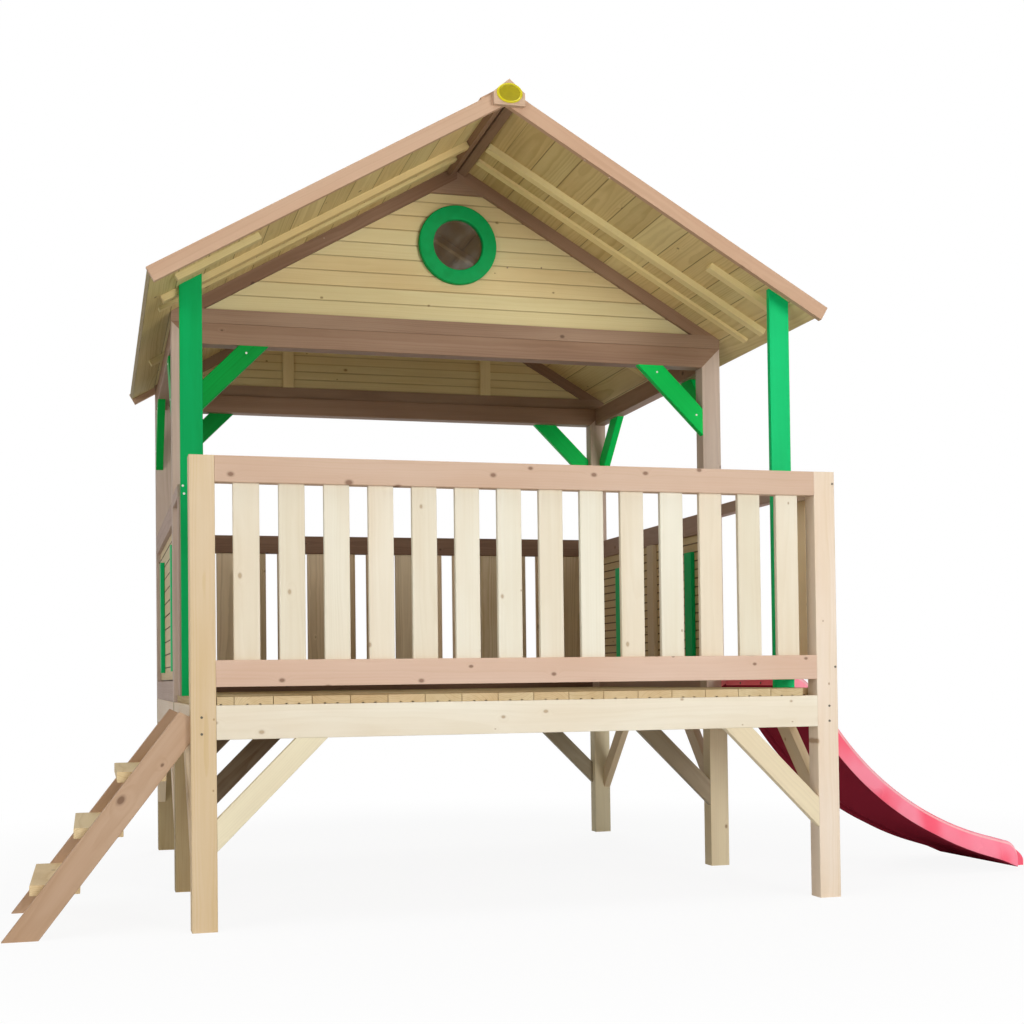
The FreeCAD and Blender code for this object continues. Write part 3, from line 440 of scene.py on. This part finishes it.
def grain_axes(rule, points):
    """Unit vectors along the grain, across the face and through the thickness."""
    x, y, z = axes = np.eye(3)
    side = 1.0 if points[:, 0].mean() < middle else -1.0
    upslope = side * x * math.cos(slope) + z * math.sin(slope)
    roof_normal = -side * x * math.sin(slope) + z * math.cos(slope)
    if rule in ("x", "y", "z"):
        order = "xyz".index(rule)
        size = points.max(axis=0) - points.min(axis=0)
        thinnest = min((axis for axis in range(3) if axis != order), key=lambda axis: size[axis])
        along, thin = axes[order], axes[thinnest]
    elif rule in ("xz", "yz"):
        level = 0 if rule == "xz" else 1
        centred = points - points.mean(axis=0)
        rising = np.sign((centred[:, level] * centred[:, 2]).sum())
        along, thin = (axes[level] + rising * z) / math.sqrt(2.0), axes[1 - level]
    elif rule == "rafter":
        along, thin = upslope, y
    elif rule == "batten":
        along, thin = upslope, roof_normal
    elif rule == "roof":
        along, thin = y, roof_normal
    else:
        along, thin = x * math.cos(ladder_lean) + z * math.sin(ladder_lean), y
    return along, np.cross(thin, along), thin


def painted_shade_by_side(left, right):
    """A rule for painted shade by the side a board stands on, given as its tone: 0 is the wood's
    light colour, 1 and beyond its dark one.
    """
    return lambda centre: left if centre[0] < middle else right


def painted_shade_behind(centre):
    """Painted shade for the knee braces: those under the front beam get the lightest tone, and
    those behind, under the deck, the darkest, most on the left.
    """
    return 0.12 if centre[1] < front_face + 0.3 else painted_shade_by_side(1.0, 0.68)(centre)


# Painted shade: on the left the posts, short posts, roof posts, green corner braces and roof
# battens are darker than on the right
painted_shade_tones = {node: painted_shade_by_side(0.95, 0.1) for node in (
    "front_posts", "short_posts", "house_corner_posts", "left_roof_post", "right_roof_post",
    "portal_corner_braces", "side_corner_braces", "roof_battens")}
# Painted shade: the knee braces behind the front beam are darker, under the deck
painted_shade_tones["cross_knee_braces"] = painted_shade_behind
# Painted shade: the left front rafter is much darker, as under the roof's overhang
painted_shade_tones["front_gable_rafters"] = painted_shade_by_side(2.1, 0.5)


def timber(node, rule, split, material):
    """The node's own faces with three attributes: the grain, which is the place along, across and
    through each board from a heart line at a random distance behind the face; the unit place,
    which runs from -1 to 1 over the board; and random numbers that each board has to itself, of
    which the first is its tone and the second its warmth. For nodes with a painted shade rule the
    tone is that painted shade instead of a random number."""
    triangles = node_triangles(node)
    ids = split(triangles)
    forms, grains, units, boards = [], [], [], []
    for part in np.unique(ids[ids != no_board]):
        own, own_faces, _ = welded(triangles[ids == part])
        axes = grain_axes(rule, own)
        centre = (own.max(axis=0) + own.min(axis=0)) / 2
        local = (own - centre) @ np.stack(axes, axis=1)
        reach = shuffle.uniform(0.03, 0.11) * shuffle.choice([-1, 1])
        heart = np.array([shuffle.uniform(-40, 40), shuffle.normal(0, 0.03), reach])
        chance = shuffle.uniform(0, 1, 3)
        # Boards with a painted shade rule take their tone from it, not at random
        if node in painted_shade_tones:
            chance[0] = painted_shade_tones[node](centre)
        forms.append((own, own_faces))
        grains.append(local + heart)
        units.append(local / np.maximum(np.abs(local).max(axis=0), 1e-6))
        boards.append(np.tile(chance, (len(own), 1)))
    piece = surface(node + "_timber", *joined(forms), material)
    for name, rows in (("grain", grains), ("unit", units), ("board", boards)):
        write_attribute(piece, name, np.concatenate(rows))
    stand_in(piece, node, 38)


timbers = [
    ("z", split_loose, {
        "front_posts": natural, "short_posts": painted_shade_softwood, "house_corner_posts": greyish,
        "left_roof_post": green, "right_roof_post": green, "railing_slats": pale,
        "left_side_slat": mauve, "right_side_slat": painted_light_softwood, "rear_wall_slats": khaki,
        "wall_battens": natural, "left_wall_green_boards": green,
        "right_wall_green_boards": green, "gable_battens": gilt}),
    ("x", split_loose, {
        "cross_beams": pale, "floor_joist": natural, "railing_top_rail": pinkish_tan,
        "railing_bottom_rail": rosy, "front_portal_rail": brown, "rear_portal_rail": brown,
        "rear_wall_top_rail": painted_shade_brown, "rear_wall_bottom_rail": painted_shade_brown, "front_gable_rail": brown,
        "rear_gable_rail": brown, "front_gable_apex_block": brown,
        "rear_gable_apex_block": brown, "apex_plaque": tan}),
    ("y", split_loose, {
        "side_beams": natural, "deck_boards": deck, "left_handrail": mauve,
        "right_handrail": mauve, "side_top_rails": brown, "wall_sills": mauve,
        "wall_bottom_rails": mauve, "right_side_rails": rosy, "ladder_treads": decking}),
    ("xz", split_loose, {"cross_knee_braces": brace, "portal_corner_braces": painted_shade_green}),
    ("yz", split_loose, {"side_knee_braces": natural, "side_corner_braces": painted_shade_green}),
    ("ladder", split_loose, {"ladder_stringers": stringer}),
    ("batten", split_loose, {"roof_battens": lath}),
    ("rafter", split_sides, {
        "front_gable_rafters": brown, "rear_gable_rafters": brown, "front_bargeboards": tan,
        "rear_bargeboards": tan}),
    ("roof", split_sides, {"ridge_caps": tan}),
    ("roof", split_loose, {"ridge_battens": brown}),
    ("roof", split_roof, {"left_roof_boards": olive, "right_roof_boards": olive}),
    ("y", split_levels(*wall_levels[:2]), {
        "left_wall_siding": walling, "right_wall_siding": walling}),
    ("x", split_levels(*gable_levels[:2]), {
        "front_gable_siding": golden, "rear_gable_siding": golden}),
]
for rule, split, group in timbers:
    for node, material in group.items():
        timber(node, rule, split, material)

# The slide: two side rails and a bed, each swept along the same line as in the solids

slide_near, slide_far = (corner[1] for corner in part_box("slide"))
rail_width = 0.042
rail_round = 0.013
bed_fillet = 0.016
foot_height = 0.014
corner_steps = 7


def slide_lines():
    """Top and lower lines of rail and bed as (x, z) rows: a first bend, a straight, a long bend
    and a run-out, at (1 - cos a) and sin a of each bend, with the ends rolled over."""
    start, bend_start = right_face - 0.028, right_face - 0.010
    top, end_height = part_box("deck_boards")[1][2] + 0.045, 0.1031
    steep, flat = math.radians(55.2), math.radians(15.2)
    first_bend, straight, run_out = 0.110, 0.1394, 0.0864
    first_share, long_share = 0.35, 0.6
    long_bend = ((top - end_height - first_bend * (1 - math.cos(steep))
                  - straight * math.sin(steep) - run_out * math.sin(flat))
                 / (math.cos(flat) - math.cos(steep)))
    # Rows of x, z, the angle of fall and the share of the way
    rows = [(start + (bend_start - start) * share, top, 0.0, 0.0) for share in (0, 0.5)]
    for share in np.linspace(0, 1, 22):
        angle = steep * share
        rows.append((bend_start + first_bend * math.sin(angle),
                     top - first_bend * (1 - math.cos(angle)), angle, first_share * share))
    x0 = rows[-1][0] + straight * math.cos(steep)
    z0 = rows[-1][1] - straight * math.sin(steep)
    for share in np.linspace(0, 1, 60):
        angle = steep + (flat - steep) * share
        rows.append((x0 + long_bend * (math.sin(steep) - math.sin(angle)),
                     z0 - long_bend * (math.cos(angle) - math.cos(steep)),
                     angle, first_share + long_share * share))
    x1, z1, _, last_share = rows[-1]
    for share in (0.5, 1.0):
        rows.append((x1 + run_out * share * math.cos(flat), z1 - run_out * share * math.sin(flat),
                     flat, last_share + (1 - last_share) * share))
    x, z, angle, share = np.array(rows).T

    # Rail and bed grow deeper over the first bend; at the foot the bed's underside joins the rails'
    bed_low_depth = 0.045
    grown = np.minimum(share / first_share, 1.0)
    merged = np.clip((share - 0.8) / 0.2, 0, 1)
    rail_depth = 0.045 + 0.013 * grown + 0.010 * merged
    floor_depth = bed_low_depth + merged * (rail_depth - bed_low_depth)
    lines = [np.stack([x - depth * np.sin(angle), z - depth * np.cos(angle)], axis=1)
             for depth in (np.zeros(len(x)), rail_depth, 0.015 + 0.016 * grown, floor_depth)]
    lip_steps = 13
    turn = np.linspace(flat, math.pi / 2, lip_steps + 1)[1:]

    def rolled(line, reach, radius):
        """The line's end with a quarter turn added, reach long and radius high."""
        end = line[-1]
        sweep = (np.sin(turn) - math.sin(flat)) / (1 - math.sin(flat))
        roll = np.stack([end[0] + reach * sweep,
                         end[1] - radius * (math.cos(flat) - np.cos(turn))], axis=1)
        return np.concatenate([line, roll])

    def footed(line, *stops):
        """The line's end carried straight to the foot's height at each stop in turn."""
        share = np.linspace(0, 1, lip_steps + 1)[1:]
        at = (0, 6 / lip_steps)[:len(stops)] + (1,)
        x = np.interp(share, at, (line[-1, 0],) + stops)
        z = np.interp(share, at, (line[-1, 1],) + (foot_height,) * len(stops))
        return np.concatenate([line, np.stack([x, z], axis=1)])

    rail_lip, bed_lip, bed_ahead = 0.050, 0.045, 0.046
    rail_top = rolled(lines[0], rail_lip * (1 - math.sin(flat)), rail_lip)
    tip_x = rail_top[-1, 0]
    bed_top = rolled(lines[2], tip_x + bed_ahead - lines[2][-1, 0], bed_lip)
    return rail_top, footed(lines[1], tip_x), bed_top, footed(lines[3], tip_x, bed_top[-1, 0])


def swept(sections):
    """Points and faces of a closed sweep through sections of equal length, with both ends shut."""
    rows, count = sections.shape[:2]
    faces = grid_faces(rows, count, close_columns=True)
    faces.append(list(range(count))[::-1])
    faces.append([(rows - 1) * count + index for index in range(count)])
    points = sections.reshape(-1, 3)
    return points, outward(points, faces)


def at_depth(line, y):
    """A line of (x, z) rows as points at one y."""
    return np.stack([line[:, 0], np.full(len(line), y), line[:, 1]], axis=1)


def rail_sections(top, low, y0, y1):
    """Rounded oblongs between two lines, with quarter circles of radius r at the top and of
    r / 4 below."""
    down = low - top
    deep = np.linalg.norm(down, axis=1, keepdims=True)
    down = down / deep
    rows = []
    for y, lower, radius, first in ((y1, 0, rail_round, 0), (y1, 1, rail_round / 4, 90),
                                    (y0, 1, rail_round / 4, 180), (y0, 0, rail_round, 270)):
        inward = 1 if y == y0 else -1
        for degrees in np.linspace(first, first + 90, corner_steps):
            angle = math.radians(degrees)
            depth = -radius * (math.cos(angle) + (1 if lower else -1))
            rows.append(at_depth(top + down * (deep * lower + depth),
                                 y + inward * radius + radius * math.sin(angle)))
    return np.stack(rows, axis=1)


def bed_sections(top, low):
    """The bed's top is nearly flat and turns up in a quarter circle at each rail, which fades
    over the last 6 cm."""
    y0, y1 = slide_near + rail_width - 0.004, slide_far - rail_width + 0.004
    ahead = np.gradient(top, axis=0)
    up = np.abs(ahead[:, ::-1]) / np.linalg.norm(ahead, axis=1, keepdims=True)
    fade = np.clip((top[-1, 0] - top[:, 0]) / 0.06, 0, 1)
    level = np.concatenate([np.linspace(0, bed_fillet, 9), np.linspace(0.03, 0.05, 3)])
    rows = []
    for y in np.concatenate([y0 + level, [(y0 + y1) / 2], (y1 - level)[::-1]]):
        reach = max(bed_fillet - min(y - y0, y1 - y), 0.0)
        rise = bed_fillet - math.sqrt(bed_fillet ** 2 - reach ** 2)
        rows.append(at_depth(top + up * (rise * fade)[:, None], y))
    return np.stack(rows + [at_depth(low, y) for y in (y1, y0)], axis=1)


def moulded_slide(material):
    """Three closed sweeps as one surface, with three numbers at each point: the painted shade of
    the lower side, the painted highlight line, and how much of the paler painted reflection bands
    shows, which is little on the bed."""
    rail_top, rail_low, bed_top, bed_low = slide_lines()
    near = rail_sections(rail_top, rail_low, slide_near, slide_near + rail_width)
    far = rail_sections(rail_top, rail_low, slide_far - rail_width, slide_far)
    bed = bed_sections(bed_top, bed_low)
    # Painted shade on the lower side: the bed's two lowest rows, and each rail's lower corners but
    # for its face that looks away from the bed
    rise = np.linspace(0, 1, corner_steps)
    none, full = 0 * rise, 0 * rise + 1
    painted_shade_sides = (np.concatenate([none, full, 1 - rise, none]),
                   np.arange(bed.shape[1]) >= bed.shape[1] - 2,
                   np.concatenate([none, rise, full, none]))
    marks = []
    for sections, lower, painted_reflection_share in zip((near, bed, far), painted_shade_sides, (1.0, 0.2, 1.0)):
        mark = np.zeros(sections.shape)
        mark[:, :, 0], mark[:, :, 2] = lower, painted_reflection_share
        marks.append(mark)
    # The lip's end gets no painted shade, and the near rail's rounded upper edge gets a painted
    # highlight line
    marks[1][-4:, :, 0] = 0.0
    marks[0][:, -6:-4, 1] = 1.0
    piece = surface("slide_moulding", *joined([swept(rows) for rows in (near, bed, far)]),
                    material)
    write_attribute(piece, "under", np.concatenate([mark.reshape(-1, 3) for mark in marks]))
    stand_in(piece, "slide", 40)


plastic = Shader("red_slide_plastic")
spot = plastic.spot()
painted_shade_side, painted_rim_highlight, painted_reflection_share = plastic.parts(plastic.attribute("under"))
under = plastic.step(painted_shade_side, 0.74, 0.80)
# Painted reflection: paler pink bands in soft patches, mostly on the rails
painted_reflection_band = plastic.step(plastic.noise(plastic.stretched(*plastic.parts(spot), 9.0, 5.0), 1.0, 1.0),
                    0.42, 0.66)
colour = plastic.mix(plastic.sum("MULTIPLY", painted_reflection_band, painted_reflection_share), tone(255, 88, 116),
                     tone(255, 138, 160))
# Painted highlight: a pale line along the near rail's rounded upper edge
colour = plastic.mix(plastic.sum("MULTIPLY", painted_rim_highlight, 0.6), colour, tone(255, 214, 210))
# Painted shade: the lower side is a darker red
plastic.give("Base Color", plastic.mix(under, colour, tone(150, 44, 62)))
plastic.give("Specular IOR Level", plastic.step(under, 0.0, 1.0, 0.4, 0.0))
plastic.give("Roughness",
             plastic.sum("ADD", plastic.step(plastic.noise(spot, 5.0, 3.0), 0.3, 0.7, 0.26, 0.34),
                         plastic.sum("MULTIPLY", under, 0.4)))
plastic.give("Coat Weight", plastic.step(under, 0.0, 1.0, 0.2, 0.0))
plastic.give("Coat Roughness", 0.2)
plastic.bump(plastic.noise(spot, 700.0, 2.0), 0.06, 0.0003)
moulded_slide(plastic.material)

# Round forms, which face the front: the window ring, the badge and the nail heads


def turned(centre, wide, high, y, count):
    """A line of points, each at its own y, turned round the Y axis through the centre on ovals
    that reach wide along X and high along Z."""
    angle = np.linspace(0, 2 * math.pi, count, endpoint=False)[:, None]
    return np.stack([centre[0] + wide * np.cos(angle), y + 0 * angle,
                     centre[2] + high * np.sin(angle)], axis=-1).reshape(-1, 3)


def disc_faces(count, rows):
    """Faces of a disc of rows rings, with its middle and its back shut."""
    return grid_faces(count, rows, True) + [
        [row * rows for row in range(count)],
        [row * rows + rows - 1 for row in range(count)][::-1]]


def window_ring(material):
    """Ring section: an oblong whose front corners are quarter circles."""
    low, high = (np.array(corner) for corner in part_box("window_ring"))
    pane_low, pane_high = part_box("window_pane")
    rebate, soft, count = 0.014, 0.004, 144
    outer = (high[0] - low[0]) / 2
    inner = (pane_high[0] - pane_low[0]) / 2 - rebate
    bend = np.linspace(0, math.pi / 2, 7)
    near = soft * (1 - np.sin(bend))
    radius = np.concatenate([[inner], inner + soft * (1 - np.cos(bend)), outer - near, [outer]])
    depth = np.concatenate([[high[1] - low[1]], near, soft * (1 - np.cos(bend)),
                            [high[1] - low[1]]])
    points = turned((low + high) / 2, radius, radius, low[1] + depth, count)
    faces = grid_faces(count, len(radius), True, True)
    piece = surface("window_ring_turned", points, outward(points, faces), material)
    stand_in(piece, "window_ring", 40)


def oval_badge(material):
    """Height over a unit oval: a rounded rim near its edge and a low dome inside,
    h(r) = deep + rim * exp(-((r - 0.9) / 0.06) ** 2) + dome * (1 - r ** 2)."""
    low, high = (np.array(corner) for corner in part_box("badge"))
    half = (high - low) / 2
    deep, rim, dome, count = 0.0022, 0.0022, 0.0006, 96
    radius = np.concatenate([np.linspace(0.02, 0.78, 14), np.linspace(0.80, 1.0, 14), [1.0]])
    height = deep + rim * np.exp(-((radius - 0.9) / 0.06) ** 2) + dome * (1 - radius ** 2)
    height[-1] = 0.0
    points = turned((low + high) / 2, half[0] * radius, half[2] * radius, high[1] - height, count)
    piece = surface("badge_oval", points, outward(points, disc_faces(count, len(radius))),
                    material)
    write_attribute(piece, "radius", np.tile(radius, count)[:, None] * np.ones(3))
    stand_in(piece, "badge", 50)


def nail_heads(places, material):
    """Flat domes, h(r) = height * (1 - r ** 2), facing the front at each place."""
    radius, height, rows, count = 0.0030, 0.0007, 4, 12
    share = np.linspace(0.15, 1.0, rows)
    forms = []
    for place in places:
        own = turned(place, radius * share, radius * share,
                     place[1] - height * (1 - share ** 2), count)
        forms.append((own, outward(own, disc_faces(count, rows))))
    piece = surface("nail_heads", *joined(forms), material)


paint = Shader("green_ring_paint")
spot = paint.spot()
paint.give("Base Color", paint.mix(paint.noise(spot, 30.0, 3.0), tone(6, 172, 92),
                                   tone(0, 148, 72)))
paint.give("Roughness", 0.5)
paint.give("Specular IOR Level", 0.12)
paint.bump(paint.noise(spot, 220.0, 3.0), 0.2, 0.0005)
window_ring(paint.material)

pane = Shader("hazy_pane")
haze = pane.step(pane.noise(pane.spot(), 9.0, 3.0), 0.45, 0.75, 0.03, 0.2)
clear = pane.fed(pane.add("BsdfTransparent"), tone(214, 206, 198))
pane.give("Base Color", tone(205, 212, 212))
pane.give("Roughness", 0.3)
pane.show(pane.mixed_shaders(haze, clear, pane.skin.outputs[0]))
paint_node("window_pane", pane.material)

yellow = Shader("yellow_badge_plastic")
rim = yellow.step(yellow.parts(yellow.attribute("radius"))[0], 0.78, 0.86)
field = yellow.mix(yellow.noise(yellow.spot(), 60.0), tone(176, 160, 4), tone(140, 128, 4))
yellow.give("Base Color", yellow.mix(rim, field, tone(214, 200, 26)))
yellow.give("Roughness", 0.35)
yellow.give("Specular IOR Level", 0.25)
oval_badge(yellow.material)

# Painted highlight: the screws high up and behind the front are pale, and the others keep a dull
# dark grey
zinc = Shader("zinc_plated_steel")
spot = zinc.spot()
lower = zinc.mix(zinc.noise(spot, 300.0), tone(120, 112, 98), tone(84, 76, 64))
high = zinc.sum("MULTIPLY", zinc.step(zinc.parts(spot)[2], 0.75, 0.8),
                zinc.step(zinc.parts(spot)[1], front_face + 0.10, front_face + 0.11))
zinc.give("Base Color", zinc.mix(high, lower, tone(214, 218, 208)))
zinc.give("Metallic", 0.7)
zinc.give("Roughness", 0.5)
paint_node("screws", zinc.material)

nail = Shader("dull_nail_heads")
nail.give("Base Color", tone(150, 126, 100))
nail.give("Roughness", 0.6)
nail_places = {"front_bargeboards": ((0.0511, 2.244), (0.1301, 2.197)),
               "front_gable_rafters": ((-0.6523, 2.1384), (0.2737, 2.1415)),
               "front_gable_siding": ((-0.0176, 2.0840), (0.1048, 2.0903))}
nail_heads([(x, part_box(node)[0][1], z) for node, rows in nail_places.items() for x, z in rows],
           nail.material)

# Pale floor, soft light and the camera

floor_shader = Shader("pale_floor")
ground = floor_shader.parts(floor_shader.spot())
away = floor_shader.sum("SQRT", floor_shader.sum("ADD", floor_shader.sum("POWER", ground[0], 2.0),
                                                 floor_shader.sum("POWER", ground[1], 2.0)))
# Seen directly, the floor glows to white and keeps part of the object's shadow near it
keep = floor_shader.step(away, 1.5, 3.4, 0.91, 1.0)
glow = floor_shader.add("Emission").outputs[0]
floor_shader.show(floor_shader.mixed_shaders(
    floor_shader.sum("MULTIPLY", floor_shader.direct_rays(), keep),
    floor_shader.skin.outputs[0], glow))
floor_shader.give("Base Color", (0.9, 0.9, 0.9, 1.0))
floor_shader.give("Roughness", 0.9)
reach = 30.0
floor = surface("pale_floor", [(-reach, -reach, 0), (reach, -reach, 0), (reach, reach, 0),
                               (-reach, reach, 0)], [(0, 1, 2, 3)], floor_shader.material)
floor.parent = None

# The room is white to look at and lights the object only a little
world = bpy.data.worlds.new("studio")
bpy.context.scene.world = world
world.use_nodes = True
world.node_tree.nodes.clear()
studio = Nodes(world.node_tree)
fill = studio.fed(studio.add("Background"), (1.0, 0.99, 0.97, 1.0), 0.10)
white = studio.fed(studio.add("Background"), (1.0, 1.0, 1.0, 1.0), 1.0)
studio.put(studio.add("OutputWorld").inputs[0],
           studio.mixed_shaders(studio.direct_rays(), fill, white))


def soft_lamp(name, place, size, watts):
    """A disk of light that faces the middle of the object from its place."""
    lamp = bpy.data.lights.new(name, "AREA")
    lamp.shape = "DISK"
    lamp.size = size
    lamp.energy = watts
    holder = bpy.data.objects.new(name, lamp)
    bpy.context.scene.collection.objects.link(holder)
    back = np.array(place) - (0, 0, 1.0)
    back /= np.linalg.norm(back)
    right = np.cross((0, 0, 1), back)
    right /= np.linalg.norm(right)
    turn = np.eye(4)
    turn[:3] = np.stack([right, np.cross(back, right), back, place], axis=1)
    holder.matrix_world = Matrix(turn.tolist())


soft_lamp("key", (2.4, -6.9, 2.0), 3.0, 215)
soft_lamp("side", (-5.4, -5.2, 2.2), 3.4, 118)
soft_lamp("above", (-1.2, -2.2, 7.0), 4.0, 190)
soft_lamp("behind", (1.5, 6.2, 5.4), 4.0, 200)


def photo_camera():
    """A pinhole with the photograph's place, turn and frame, for a square picture."""
    picture, focal_pixels, centre_x, centre_y = 1024, 1515.9, 525.0, 642.9
    yaw, pitch, roll = (math.radians(angle) for angle in (-15.955, 1.347, 0.726))
    turn = (Matrix.Rotation(yaw, 4, "Z") @ Matrix.Rotation(pitch, 4, "X")
            @ Matrix.Rotation(roll, 4, "Y") @ Matrix.Rotation(math.pi / 2, 4, "X"))
    data = bpy.data.cameras.new("photo_camera")
    data.sensor_width = 36.0
    data.lens = focal_pixels / picture * data.sensor_width
    data.shift_x = (picture / 2 - centre_x) / picture
    data.shift_y = (centre_y - picture / 2) / picture
    data.clip_end = 100
    camera = bpy.data.objects.new("photo_camera", data)
    camera.matrix_world = Matrix.Translation(
        (left_face - 0.2524, front_face - 4.139, 0.6674)) @ turn
    bpy.context.scene.collection.objects.link(camera)
    bpy.context.scene.camera = camera


photo_camera()
bpy.context.scene.view_settings.view_transform = "Standard"
